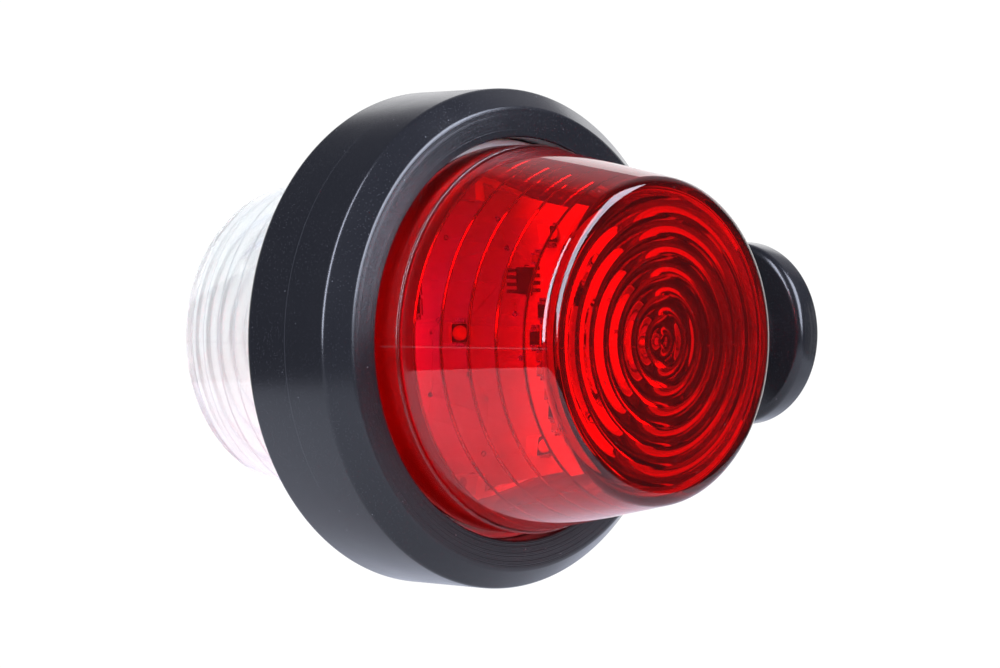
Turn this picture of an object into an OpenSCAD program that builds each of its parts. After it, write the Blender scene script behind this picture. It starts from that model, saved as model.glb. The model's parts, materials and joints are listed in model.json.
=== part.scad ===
// Double-sided marker lamp on a short foot. A moulded ring carries a red lens on one side and a
// clear lens on the other, and one upright circuit board stands between them.
// The origin is the centre of the foot's mounting face: +X points out of that face, +Z is up.
// The lamp axis runs along Y, with the red lens towards -Y and the clear lens towards +Y.

/* [Ring] */
// Outside diameter of the moulded ring
ring_d = 84; // [82:0.5:90]
// Width of the ring's plain outer band
band_w = 18; // [16:0.5:20]
// Width of the ring across its two faces
ring_w = 25.2; // [24:0.2:28]
// Width of each sloping edge, measured along the radius
bevel_w = 3.3; // [2:0.1:4]
// Diameter of the bore that opens in each face
bore_d = 67.4; // [67.2:0.1:68]

/* [Foot] */
// Distance from the lamp axis to the foot's mounting face
reach = 72; // [70:1:90]
// Diameter of the foot's flange
foot_d = 33.6; // [32:0.2:40]
// Thickness of the flange at its rim
foot_t = 5.2; // [4:0.1:6]
// Diameter of the neck between the ring and the flange
neck_d = 17; // [16:0.5:18]
// Distance between the two threaded inserts
insert_pitch = 20; // [20:0.5:21]
// Diameter of the threaded hole in each insert
insert_hole_d = 4.2; // [3.3:0.1:4.2]
// Diameter of the cable hole in the grommet
cable_d = 5.2; // [4:0.1:6]

/* [Lenses] */
// Distance from the middle of the lamp to the centre of a lens face
lens_reach = 45.6; // [42:0.2:50]
// Diameter of a lens where its tapered side begins
lens_base_d = 64; // [63:0.2:64.4]
// Diameter of a lens across its front rim
lens_rim_d = 52.6; // [50:0.2:56]
// Thickness of a lens wall
lens_wall = 2.2; // [1.8:0.1:2.6]
// Distance between the steps inside a lens side wall
step_pitch = 5.15; // [4.5:0.05:6]
// Distance between the prism rings inside a lens face
prism_pitch = 3.17; // [2.8:0.05:3.4]
// Height of each prism ring
prism_h = 0.7; // [0.3:0.1:0.9]

/* [Circuit board] */
// Length of the board along the lamp axis
board_len = 58; // [50:1:60]
// Thickness of the board
board_t = 1.6; // [1:0.1:1.6]
// Height of the board in the middle, where the carrier grips it
board_mid_h = 54.6; // [53:0.2:54.8]
// Height of the board at its two ends
board_end_h = 45.6; // [40:0.2:46]

/* [Hidden] */
$fn = 96;

red = 1;              // side index of the red lens, towards -Y
clear = -1;           // side index of the clear lens, towards +Y
near = -1;            // the board's face away from the foot, towards -X
far = 1;              // the board's face towards the foot, towards +X
overlap = 1;          // how far one shape of a union runs into the next
cut = 0.5;            // how far a cutting shape runs past the face it opens

lamp_x = -reach;
ring_r = ring_d / 2;
bore_r = bore_d / 2;
face_z = ring_w / 2;

rib_r = 31.2;         // inner radius of the rib that grips the carrier
rib_w = 5;
rib_gap = 0.1;        // gap between the rib and the carrier's groove
edge_round = 0.8;     // radius on the ring's outer edges
bore_round = 0.5;

foot_r = foot_d / 2;
neck_r = neck_d / 2;
neck_root = 36;       // where the neck starts inside the ring's wall, from the lamp axis
flange_slope = 1.2;   // how much thicker the flange is at the neck than at its rim
flange_back_r = 1.6;  // radius on the flange's back edge
flange_edge_r = 0.7;
neck_fillet = 3.5;
boss_r = 5;           // round boss behind each insert
boss_len = 9.6;
insert_r = 3.3;
insert_len = 7.5;
insert_gap = 0.02;    // the pocket's radial clearance round an insert
grommet_r = 5.2;
grommet_len = 12;
grommet_lip_r = 6.2;
grommet_lip_t = 1.6;
passage_r = 4;        // cable passage through the neck

carrier_r = bore_r - 0.1;
carrier_face = 8;     // height of the carrier's seal face above the middle of the lamp
web_z = 3.4;          // half the width of the carrier's middle web
web_r = 27.6;
carrier_hole_r = 3;   // cable hole through the web
thread_bore_r = 30.9;
post_w = 5.2;         // posts that hold the board's edges
post_h = 3.4;
post_fit = 0.05;      // gap on each face of the board in its slot

skirt_r = 30.6;       // screw skirt of a lens
skirt_wall = 2.2;
skirt_z = 3.7;
flange_r = 32.4;
flange_z = 9.5;       // underside of a lens flange
base_z = 16.3;        // where a lens's tapered side begins
seal_r = 31.5;
seal_wire_r = 0.7;
rim_drop = 0.7;       // how far the rim of a lens face lies behind its centre
rim_round = 2.6;
step_h = 0.45;        // riser of each step in a lens wall
first_step = 17.85;
step_count = 5;
prism_count = 7;
dot_r = 1.1;

board_h = board_mid_h / 2;
end_h = board_end_h / 2;
screw_z = 25.4;       // height of the screws that hold the board
screw_r = 1;
screw_head_r = 1.8;
led_size = [2.6, 3.5, 3];   // along the lamp axis, up, and off the board
led_dome_r = 1.4;
led_lead = [1.9, 0.5, 0.25];

// Places of the parts on the board, as [along the lamp axis, up]
red_led_places = [[3.6, 0.9], [-19.1, 18.4], [-16.2, -18.8]];
white_led_places = [[5.5, 0.9], [17.2, 17.4], [15.2, -18]];
chip_place = [-12.6, 10.4];
near_resistors = [[-16.7, 4.9], [-14.9, 0.2], [-19.2, -12.2], [13.5, 9], [13.5, 5.4]];
far_resistors = [[-12, 13.5], [-12, 9.5], [-12, 5.5]];
near_capacitors = [[-16.5, -3], [-16.7, -5.4], [-18.4, -9.4], [-20.2, -15], [-14.2, 14.4], [15.5, -6]];
far_capacitors = [[12, 10.2], [12, 7.6]];
can_place = [-19.5, -2];
inductor_place = [17.5, -6];
rectifier_place = [-8, -13];
suppressor_place = [4, -14];
terminal_place = [-4.5, 0];

chip_size = [3.9, 4.9, 1.45];
chip_lead = [1.1, 0.42, 0.22];
chip_lead_pitch = 1.27;
resistor_size = [1.6, 3.2, 0.6];
capacitor_size = [1.3, 2, 1];
can_r = 4;
can_h = 7.4;
inductor_size = [7, 7, 3.6];
rectifier_size = [5, 6.4, 2.4];
suppressor_size = [3.6, 4.6, 2.3];
terminal_size = [7.6, 10, 8.6];
terminal_pitch = 5;
terminal_wire_r = 1.3;
terminal_screw_r = 1.5;
terminal_screw_len = 3;

// Helpers for outlines

function unit(v) = v / norm(v);
function turned(v, a) = [v.x * cos(a) - v.y * sin(a), v.x * sin(a) + v.y * cos(a)];

// Arc of radius r that rounds corner b between its neighbours a and c
function round_corner(a, b, c, r, steps = 6) =
    let (u = unit(a - b), v = unit(c - b), half = acos(u * v) / 2)
    let (m = b + unit(u + v) * r / sin(half), setback = r / tan(half))
    let (p = b + u * setback - m, q = b + v * setback - m)
    let (sweep = atan2(p.x * q.y - p.y * q.x, p * q))
    [for (i = [0:steps]) m + turned(p, sweep * i / steps)];

function flat2(p) = [p[0], p[1]];

// Outline from corners [x, y, radius]: a corner with a radius becomes an arc
function outline(corners) =
    let (n = len(corners))
    [for (i = [0:n - 1])
        let (a = flat2(corners[(i + n - 1) % n]), b = flat2(corners[i]), c = flat2(corners[(i + 1) % n]))
        each (len(corners[i]) > 2 ? round_corner(a, b, c, corners[i][2]) : [b])];

function mirrored(corners) =
    [for (i = [len(corners) - 1:-1:0])
        [for (j = [0:len(corners[i]) - 1]) j == 1 ? -corners[i][1] : corners[i][j]]];

// Helpers for placing

// Turns a shape's own +Z to the lamp axis on one side of the lamp
module along_lamp(side) translate([lamp_x, 0, 0]) rotate([90 * side, 0, 0]) children();

// Turns a shape's own +Z to +X
module along_foot() rotate([0, 90, 0]) children();

// Stands a part on one face of the board: its own +Z points off the face, and its own +Y is up
module on_board(place, face)
    translate([lamp_x + face * board_t / 2, place.x, place.y]) rotate([90, 0, 90 * face]) children();

module block(size) translate([-size.x / 2, -size.y / 2, 0]) cube(size);

// Housing and foot

ring_half = [[rib_r, rib_w / 2],
             [bore_r, rib_w / 2],
             [bore_r, face_z, bore_round],
             [ring_r - bevel_w, face_z, edge_round],
             [ring_r, band_w / 2, edge_round]];

module ring_shape() along_lamp(red) rotate_extrude() polygon(outline(concat(ring_half, mirrored(ring_half))));

// Neck and flange, turned about the foot's axis. Heights run from the mounting face back to the ring.
module foot_shape() {
    root = neck_root - reach;
    along_foot() rotate_extrude() polygon(outline([
        [0, root],
        [neck_r + 1, root],
        [neck_r + 1, ring_r - reach + 1, 4],
        [neck_r, ring_r - reach + 4, 6],
        [neck_r, -foot_t - flange_slope, neck_fillet],
        [foot_r, -foot_t, flange_back_r],
        [foot_r, 0, flange_edge_r],
        [0, 0]]));
}

module insert_bosses()
    for (s = [-1, 1])
        translate([-boss_len, 0, s * insert_pitch / 2]) along_foot() {
            cylinder(r = boss_r, h = boss_len - overlap);
            translate([0, 0, -1]) cylinder(r1 = boss_r - 1.4, r2 = boss_r, h = 1);
        }

module insert_pockets()
    for (s = [-1, 1])
        translate([-insert_len - 0.3, 0, s * insert_pitch / 2]) along_foot()
            cylinder(r = insert_r + insert_gap, h = insert_len + 0.3 + cut);

module grommet_pocket() {
    translate([-grommet_len, 0, 0]) along_foot() cylinder(r = grommet_r, h = grommet_len + cut);
    translate([-grommet_lip_t, 0, 0]) along_foot() cylinder(r = grommet_lip_r, h = grommet_lip_t + cut);
}

// Straight passage for the cable, from the foot's face to the inside of the carrier
module cable_passage(r)
    translate([lamp_x + web_r - overlap, 0, 0]) along_foot() cylinder(r = r, h = reach - web_r + overlap + cut);

module housing() color("#1d1f23") difference() {
    union() {
        ring_shape();
        foot_shape();
        insert_bosses();
    }
    insert_pockets();
    grommet_pocket();
    cable_passage(passage_r);
}

module threaded_inserts() color("goldenrod")
    for (s = [-1, 1])
        translate([-insert_len, 0, s * insert_pitch / 2]) along_foot() difference() {
            cylinder(r = insert_r, h = insert_len);
            translate([0, 0, -cut]) cylinder(d = insert_hole_d, h = insert_len + 2 * cut);
        }

module cable_grommet() color("#2a2b2e") translate([-grommet_len, 0, 0]) along_foot() difference() {
    union() {
        cylinder(r = grommet_r - 0.02, h = grommet_len - overlap);
        translate([0, 0, grommet_len - grommet_lip_t]) cylinder(r = grommet_lip_r - 0.02, h = grommet_lip_t - 0.2);
    }
    translate([0, 0, -cut]) cylinder(d = cable_d, h = grommet_len + 2 * cut);
}

// Carrier: a rigid ring with a screw bore for each lens and two slotted posts for the board

carrier_half = [[web_r, web_z],
                [thread_bore_r, web_z],
                [thread_bore_r, carrier_face, 0.4],
                [carrier_r, carrier_face, 0.4],
                [carrier_r, rib_w / 2 + rib_gap],
                [rib_r - rib_gap, rib_w / 2 + rib_gap]];

module board_post(s)
    translate([lamp_x - post_w / 2, -web_z + 0.2, s > 0 ? web_r - post_h : -web_r - overlap])
        cube([post_w, 2 * web_z - 0.4, post_h + overlap]);

module board_screw_holes(r)
    for (s = [-1, 1])
        translate([lamp_x - 8, 0, s * screw_z]) along_foot() cylinder(r = r, h = 16);

module lens_carrier() color("#e8e6df") difference() {
    union() {
        along_lamp(red) rotate_extrude() polygon(outline(concat(carrier_half, mirrored(carrier_half))));
        for (s = [-1, 1]) board_post(s);
    }
    translate([lamp_x - board_t / 2 - post_fit, -web_z - cut, -board_h - post_fit])
        cube([board_t + 2 * post_fit, 2 * (web_z + cut), 2 * (board_h + post_fit)]);
    board_screw_holes(screw_r + 0.02);
    cable_passage(carrier_hole_r);
}

// Circuit board and what is mounted on it

module board_shape() {
    neck_y = web_z;
    half = [[neck_y, board_h, 0.6],
            [neck_y + 0.8, board_h - 0.7],
            [board_len / 2, end_h, 1.5]];
    top = concat([for (i = [len(half) - 1:-1:0]) [-half[i][0], half[i][1], half[i][2]]], half);
    corners = concat(top, mirrored(top));
    polygon(outline([for (c = corners) c[2] == undef ? [c[0], c[1]] : c]));
}

module circuit_board() color("#f2f1ea") difference() {
    translate([lamp_x - board_t / 2, 0, 0]) rotate([90, 0, 90]) linear_extrude(board_t) board_shape();
    board_screw_holes(screw_r + 0.02);
}

module board_screws() color("silver")
    for (s = [-1, 1])
        translate([lamp_x, 0, s * screw_z]) along_foot() {
            translate([0, 0, -post_w / 2 + 0.2]) cylinder(r = screw_r, h = post_w);
            difference() {
                translate([0, 0, post_w / 2]) cylinder(r = screw_head_r, h = 1.3);
                translate([-0.2, -2, post_w / 2 + 0.8]) cube([0.4, 4, 1]);
            }
        }

module terminal_block() color("#2f7d4a") on_board(terminal_place, far) difference() {
    block(terminal_size);
    for (s = [-1, 1]) {
        translate([0.8, s * terminal_pitch / 2, terminal_size.z - 5.5]) cylinder(r = terminal_wire_r, h = 5.5 + cut);
        translate([-terminal_size.x / 2 - cut, s * terminal_pitch / 2, 4]) rotate([0, 90, 0])
            cylinder(r = terminal_screw_r + 0.02, h = terminal_screw_len + cut);
    }
}

module terminal_screws() color("silver") on_board(terminal_place, far)
    for (s = [-1, 1])
        translate([-terminal_size.x / 2 + 0.2, s * terminal_pitch / 2, 4]) rotate([0, 90, 0]) difference() {
            cylinder(r = terminal_screw_r, h = terminal_screw_len - 0.2);
            translate([-0.25, -2, -cut]) cube([0.5, 4, 0.6 + cut]);
        }

module driver_chip() color("#222222") on_board(chip_place, near)
    translate([0, 0, 0.15]) block(chip_size);

module driver_chip_leads() color("silver") on_board(chip_place, near)
    for (s = [-1, 1])
        for (i = [-1.5:1:1.5])
            translate([s * (chip_size.x + chip_lead.x) / 2, i * chip_lead_pitch, 0]) {
                translate([s * 0.2, 0, 0]) block([chip_lead.x - 0.4, chip_lead.y, chip_lead.z]);
                translate([-s * (chip_lead.x / 2 - 0.25), 0, 0]) block([0.5, chip_lead.y, 0.9]);
            }

module placed(places, face) for (p = places) on_board(p, face) children();

module resistors() color("#26262a") {
    placed(near_resistors, near) block(resistor_size);
    placed(far_resistors, far) block(resistor_size);
}

module ceramic_capacitors() color("#9a7448") {
    placed(near_capacitors, near) block(capacitor_size);
    placed(far_capacitors, far) block(capacitor_size);
}

module smoothing_capacitor() color("#c9ccd0") on_board(can_place, far) {
    block([2 * can_r + 0.3, 2 * can_r + 0.3, 1.2]);
    translate([0, 0, 1]) cylinder(r = can_r, h = can_h - 1);
}

module power_inductor() color("#3c3d40") on_board(inductor_place, far) difference() {
    block(inductor_size);
    translate([0, 0, inductor_size.z - 0.5]) difference() {
        cylinder(r = 2.9, h = 1);
        cylinder(r = 2.2, h = 1);
    }
}

module input_rectifier() color("#26262a") on_board(rectifier_place, far) block(rectifier_size);

module surge_suppressor() color("#26262a") on_board(suppressor_place, far) block(suppressor_size);

module led_bodies(places, face) placed(places, face) block(led_size);

// Round window of a light source, on the end that faces the lens
module led_domes(places, face)
    placed(places, face)
        translate([led_size.x / 2, 0, led_size.z / 2]) rotate([0, 90, 0]) intersection() {
            translate([0, 0, -0.6]) sphere(r = led_dome_r + 0.1);
            translate([0, 0, 1]) cube([3, 3, 2], center = true);
        }

module red_led_bodies() color("#f4f2ea") led_bodies(red_led_places, near);
module white_led_bodies() color("#f4f2ea") led_bodies(white_led_places, far);
module red_led_domes() color("#ff5540") led_domes(red_led_places, near);
module white_led_domes() color("#f7e27a") led_domes(white_led_places, far);

module led_lead_pairs(places, face)
    placed(places, face)
        for (s = [-1, 1])
            translate([-0.2, s * (led_size.y / 2 + led_lead.y / 2), 0]) block(led_lead);

module led_leads() color("silver") {
    led_lead_pairs(red_led_places, near);
    led_lead_pairs(white_led_places, far);
}

// Lenses

lens_base_r = lens_base_d / 2;
rim_z = lens_reach - rim_drop;
rim_r = lens_rim_d / 2;
taper = (lens_base_r - rim_r) / (rim_z - base_z);

function side_r(z) = lens_base_r - taper * (z - base_z);
function crown_z(r) = lens_reach - rim_drop * pow(r / rim_r, 2);

step_edges = [for (k = [0:step_count - 1]) first_step + k * step_pitch];
step_corners = [for (z = step_edges) each [[side_r(z) - lens_wall + step_h / 2, z],
                                          [side_r(z) - lens_wall - step_h / 2, z]]];

inner_z = rim_z - lens_wall;
inner_r = side_r(inner_z) - lens_wall;
prism_corners = [for (k = [prism_count:-1:1])
                    let (r = dot_r + k * prism_pitch)
                    each [[r, inner_z], [r - prism_pitch * 0.35, inner_z - prism_h]]];

lens_corners = concat(
    [[skirt_r - skirt_wall, skirt_z],
     [skirt_r, skirt_z, 0.3],
     [skirt_r, flange_z],
     [flange_r, flange_z, 0.3],
     [flange_r, base_z, 0.4],
     [lens_base_r - 0.3, base_z],
     [lens_base_r - 0.3, base_z + 0.35],
     [side_r(base_z + 0.5), base_z + 0.5],
     [rim_r, rim_z, rim_round]],
    [for (f = [0.82, 0.6, 0.35]) [rim_r * f, crown_z(rim_r * f)]],
    [[0, lens_reach],
     [0, inner_z - prism_h],
     [dot_r, inner_z]],
    [for (i = [len(prism_corners) - 1:-1:0]) prism_corners[i]],
    [[inner_r, inner_z, 0.8]],
    [for (i = [len(step_corners) - 1:-1:0]) step_corners[i]],
    [[skirt_r - skirt_wall, flange_z + 3]]);

module lens(side) along_lamp(side) rotate_extrude() polygon(outline(lens_corners));

module seal(side) along_lamp(side)
    translate([0, 0, (carrier_face + flange_z) / 2]) rotate_extrude() translate([seal_r, 0]) circle(r = seal_wire_r);

module red_lens() color("#c8101a") lens(red);
module clear_lens() color("#eef2f4") lens(clear);
module red_lens_seal() color("#151515") seal(red);
module clear_lens_seal() color("#151515") seal(clear);

housing();
threaded_inserts();
cable_grommet();
lens_carrier();
circuit_board();
board_screws();
terminal_block();
terminal_screws();
driver_chip();
driver_chip_leads();
resistors();
ceramic_capacitors();
smoothing_capacitor();
power_inductor();
input_rectifier();
surge_suppressor();
red_led_bodies();
red_led_domes();
white_led_bodies();
white_led_domes();
led_leads();
red_lens();
red_lens_seal();
clear_lens();
clear_lens_seal();
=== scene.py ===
"""Looks of the double-sided marker lamp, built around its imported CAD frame.

The lamp axis runs along Y: the red lens faces -Y and the clear lens faces +Y. The foot points to +X.
Shapes are given in millimetres and scaled by MM. Lengths in materials, lights and camera are metres.
"""
import json
import math

import bmesh
import bpy
from mathutils import Matrix, Vector


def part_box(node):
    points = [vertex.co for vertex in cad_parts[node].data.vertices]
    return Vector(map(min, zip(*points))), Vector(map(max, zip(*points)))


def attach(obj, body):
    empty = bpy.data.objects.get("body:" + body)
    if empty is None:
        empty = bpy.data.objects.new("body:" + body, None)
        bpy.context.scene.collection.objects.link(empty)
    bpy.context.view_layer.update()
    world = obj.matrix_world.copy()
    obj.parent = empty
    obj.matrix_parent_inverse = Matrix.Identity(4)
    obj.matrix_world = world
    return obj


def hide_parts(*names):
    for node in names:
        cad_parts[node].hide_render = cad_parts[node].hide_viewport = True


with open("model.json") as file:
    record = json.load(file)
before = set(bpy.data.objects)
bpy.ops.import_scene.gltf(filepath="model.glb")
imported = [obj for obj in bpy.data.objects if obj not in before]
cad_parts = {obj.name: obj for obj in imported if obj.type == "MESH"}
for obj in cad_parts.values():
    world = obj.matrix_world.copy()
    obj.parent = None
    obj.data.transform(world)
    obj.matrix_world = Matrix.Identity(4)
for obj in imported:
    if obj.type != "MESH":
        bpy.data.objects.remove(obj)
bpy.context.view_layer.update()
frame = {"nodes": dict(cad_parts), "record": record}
nodes = frame["nodes"]

MM = 0.001
SHARP_ANGLE = math.radians(30)
RED, CLEAR = -1, 1            # which way along Y a lens faces
NEAR, FAR = -1, 1             # which way along X a face of the circuit board looks

red_low, red_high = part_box("red_lens")
LAMP_X = (red_low.x + red_high.x) / 2
RING_R = round(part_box("housing")[1].z / MM, 1)
LENS_REACH = round(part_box("clear_lens")[1].y / MM, 1)
CENTRE = Vector((LAMP_X, 0, 0))


# Outlines and meshes

def arc_corner(a, b, c, radius, steps):
    """Points of the arc that rounds corner b between its neighbours a and c."""
    a, b, c = (Vector(p[:2]) for p in (a, b, c))
    u, v = (a - b).normalized(), (c - b).normalized()
    half = u.angle(v) / 2
    setback = radius / math.tan(half)
    centre = b + (u + v).normalized() * radius / math.sin(half)
    p, q = b + u * setback - centre, b + v * setback - centre
    sweep = math.atan2(p.x * q.y - p.y * q.x, p.dot(q))
    turn = [sweep * i / steps for i in range(steps + 1)]
    return [(centre.x + p.x * math.cos(t) - p.y * math.sin(t),
             centre.y + p.x * math.sin(t) + p.y * math.cos(t)) for t in turn]


def outline(corners, steps=8):
    """Points of an outline. A corner is (x, y), or (x, y, radius) where it is rounded."""
    points = []
    count = len(corners)
    for i, corner in enumerate(corners):
        if len(corner) > 2 and corner[2] > 0:
            before, after = corners[i - 1], corners[(i + 1) % count]
            points += arc_corner(before, corner, after, corner[2], steps)
        else:
            points.append(tuple(corner[:2]))
    return points


def mirrored(corners):
    """The same corners with y negated, in the opposite order."""
    return [(c[0], -c[1], *c[2:]) for c in reversed(corners)]


def add_object(name, mesh, mat):
    """A smooth-shaded object whose sharper edges stay crisp."""
    obj = bpy.data.objects.new(name, mesh)
    bpy.context.scene.collection.objects.link(obj)
    mesh.shade_smooth()
    mesh.set_sharp_from_angle(angle=SHARP_ANGLE)
    mesh.materials.append(mat)
    return obj


def mesh_from_bmesh(name, bm, merge=1e-7):
    """A clean mesh with its normals outward, and with points closer than merge joined."""
    bmesh.ops.remove_doubles(bm, verts=bm.verts, dist=merge)
    bmesh.ops.dissolve_degenerate(bm, edges=bm.edges, dist=merge)
    bmesh.ops.recalc_face_normals(bm, faces=bm.faces)
    mesh = bpy.data.meshes.new(name)
    bm.to_mesh(mesh)
    bm.free()
    return mesh


def lathe_bmesh(points, place, segments):
    """Turns a closed outline of (radius, height) points. place(r, h, cos, sin) gives a vertex."""
    bm = bmesh.new()
    angles = [2 * math.pi * i / segments for i in range(segments)]
    rings = [[bm.verts.new(place(r, h, math.cos(a), math.sin(a))) for r, h in points] for a in angles]
    count = len(points)
    for i in range(segments):
        here, there = rings[i], rings[(i + 1) % segments]
        for j in range(count):
            k = (j + 1) % count
            if points[j][0] < 1e-9 and points[k][0] < 1e-9:
                continue
            bm.faces.new((here[j], here[k], there[k], there[j]))
    return bm


def on_lamp_axis(side):
    """Places a turned point on the lamp axis, with height growing towards side."""
    return lambda r, h, c, s: (LAMP_X + r * c * MM, side * h * MM, r * s * MM)


def lathe(name, corners, place, mat, segments):
    """A turned object. Each rounded corner of its outline gets eight steps."""
    return add_object(name, mesh_from_bmesh(name, lathe_bmesh(outline(corners), place, segments)), mat)


# Materials

def new_material(name, **values):
    """A Principled material. Keyword names are socket names with _ for a space."""
    mat = bpy.data.materials.new(name)
    mat.use_nodes = True
    shader = mat.node_tree.nodes["Principled BSDF"]
    for key, value in values.items():
        socket = shader.inputs[key.replace("_", " ")]
        socket.default_value = (*value, 1) if isinstance(value, tuple) and len(value) == 3 else value
    return mat


def node(mat, kind, **values):
    """A node whose named inputs, or else attributes, have these values. mat is a material or the world."""
    made = mat.node_tree.nodes.new(kind)
    for key, value in values.items():
        if key in made.inputs:
            made.inputs[key].default_value = value
        else:
            setattr(made, key, value)
    return made


def link(mat, source, target):
    mat.node_tree.links.new(source, target)


def shader_of(mat):
    return mat.node_tree.nodes["Principled BSDF"]


def object_coordinates(mat):
    return node(mat, "ShaderNodeTexCoord").outputs["Object"]


def noise(mat, scale, detail=3):
    """Noise in object space; scale is in cells per metre."""
    made = node(mat, "ShaderNodeTexNoise", Scale=scale, Detail=detail, Roughness=0.6)
    link(mat, object_coordinates(mat), made.inputs["Vector"])
    return made.outputs["Fac"]


def ramp(mat, source, stops):
    """Colour ramp with stops of (position, colour or grey)."""
    made = node(mat, "ShaderNodeValToRGB")
    link(mat, source, made.inputs["Fac"])
    elements = made.color_ramp.elements
    while len(elements) < len(stops):
        elements.new(0.5)
    for element, (position, colour) in zip(elements, stops):
        element.position = position
        element.color = (*colour, 1) if isinstance(colour, tuple) else (colour, colour, colour, 1)
    return made.outputs["Color"]


def between(mat, source, low, high, at_low, at_high):
    """A number that goes from at_low to at_high as source goes from low to high, and stays there."""
    made = node(mat, "ShaderNodeMapRange")
    link(mat, source, made.inputs["Value"])
    for socket, value in zip(("From Min", "From Max", "To Min", "To Max"), (low, high, at_low, at_high)):
        made.inputs[socket].default_value = value
    return made.outputs["Result"]


def calculate(mat, operation, *sources):
    """Result of a math node. A source is a number or a socket."""
    made = node(mat, "ShaderNodeMath", operation=operation)
    for socket, source in zip(made.inputs, sources):
        if isinstance(source, (int, float)):
            socket.default_value = source
        else:
            link(mat, source, socket)
    return made.outputs["Value"]


def product(mat, first, *others):
    """All the sources multiplied together."""
    for other in others:
        first = calculate(mat, "MULTIPLY", first, other)
    return first


def bump(mat, height, distance, strength=1.0, below=None):
    """Normal raised by height times distance, on top of the normal below it."""
    made = node(mat, "ShaderNodeBump", Strength=strength, Distance=distance)
    link(mat, height, made.inputs["Height"])
    if below is not None:
        link(mat, below, made.inputs["Normal"])
    return made.outputs["Normal"]


def vector_math(mat, operation, *sources):
    """Result of a vector math node. A source is a vector or a socket."""
    made = node(mat, "ShaderNodeVectorMath", operation=operation)
    for i, source in enumerate(sources):
        if isinstance(source, (tuple, Vector)):
            made.inputs[i].default_value = source
        else:
            link(mat, source, made.inputs[i])
    return made.outputs["Value" if operation in ("DOT_PRODUCT", "LENGTH") else "Vector"]


def specks(mat, cells, size):
    """1 in small scattered dots and 0 elsewhere. cells is in cells per metre, size a share of a cell."""
    dots = node(mat, "ShaderNodeTexVoronoi", Scale=cells)
    link(mat, object_coordinates(mat), dots.inputs["Vector"])
    return ramp(mat, dots.outputs["Distance"], [(size * 0.6, 1.0), (size, 0.0)])


def axis_distance(mat, point):
    """Distance of point from the lamp axis."""
    from_centre = vector_math(mat, "SUBTRACT", point, CENTRE)
    return vector_math(mat, "LENGTH", vector_math(mat, "MULTIPLY", from_centre, (1, 0, 1)))


def away_from(mat, vector, axis):
    """How far vector reaches along axis, on either side."""
    return calculate(mat, "ABSOLUTE", vector_math(mat, "DOT_PRODUCT", vector, axis))


def mixed_shader(mat, share, first, second):
    """Blend of two shader sockets. The socket share is the second one's part."""
    mix = node(mat, "ShaderNodeMixShader")
    link(mat, share, mix.inputs["Fac"])
    link(mat, first, mix.inputs[1])
    link(mat, second, mix.inputs[2])
    return mix.outputs["Shader"]


ALONG, UP = (0, 1, 0), (0, 0, 1)      # along the lamp axis, and up

# Lengths among these are metres
BLACK_COLOUR = (0.0105, 0.0108, 0.0128)
DUST_COLOUR = (0.16, 0.16, 0.17)
TOOL_LEAN = 0.12              # slope of the flanks that the turning tool left on a face
TOOL_DEPTH = 0.00005
# Painted reflection: the mould's parting line on each lens is painted as a pale line at this height
PARTING_Z = -0.0008           # height of the line that the mould left on each lens
PARTING_EDGE = (0.00006, 0.00012)     # half the width of that line, and where it has faded out

# Zones of a lens, each from where it starts to change to where it has changed. They are distances from
# the lamp's middle plane, and the last one from its axis. The flange zone and the two rim zones bound painted
# shade
FLANGE_SHADE = (0.013, 0.0172)
FLANGE_GLOSS = (0.0172, 0.0182)
FACE_HAZE = (0.0405, 0.0425)
RIM_BAND = (0.0425, 0.0437)
FACE_EDGE = (0.0435, 0.044)
RIM_RADIUS = (0.0241, 0.0252)


def black_plastic():
    """Moulded black plastic with a little dust. Faces square to the lamp axis have fine turning marks."""
    mat = new_material("black_plastic", Base_Color=BLACK_COLOUR)
    shader = shader_of(mat)
    geometry = node(mat, "ShaderNodeNewGeometry")
    radius = axis_distance(mat, geometry.outputs["Position"])
    squareness = away_from(mat, geometry.outputs["Normal"], ALONG)
    on_face = between(mat, squareness, 0.9, 0.99, 0.0, 1.0)
    link(mat, ramp(mat, noise(mat, 90), [(0.3, 0.2), (0.7, 0.27)]),
         shader.inputs["Roughness"])
    fine_dust = product(mat, specks(mat, 2300, 0.2),
                        ramp(mat, noise(mat, 70), [(0.35, 0.06), (0.75, 0.3)]))
    off_line = away_from(mat, geometry.outputs["Position"], ALONG)
    seam = between(mat, off_line, 0.00005, 0.0001, 0.12, 0.0)
    dust = node(mat, "ShaderNodeMix", data_type="RGBA", A=(*BLACK_COLOUR, 1), B=(*DUST_COLOUR, 1))
    link(mat, calculate(mat, "ADD", calculate(mat, "ADD", fine_dust, seam),
                        specks(mat, 420, 0.045)), dust.inputs["Factor"])
    link(mat, dust.outputs["Result"], shader.inputs["Base Color"])
    rings = node(mat, "ShaderNodeTexNoise", noise_dimensions="1D", Scale=5000.0, Detail=3.0)
    link(mat, radius, rings.inputs["W"])
    lean = product(mat, radius, -TOOL_LEAN)
    grooves = product(mat, rings.outputs["Fac"], TOOL_DEPTH)
    marks = calculate(mat, "ADD", grooves, lean)
    turned = product(mat, marks, on_face)
    fine = bump(mat, noise(mat, 2600), 0.000012, 0.5)
    link(mat, bump(mat, turned, 1.0, 1.0, fine), shader.inputs["Normal"])
    return mat


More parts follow.
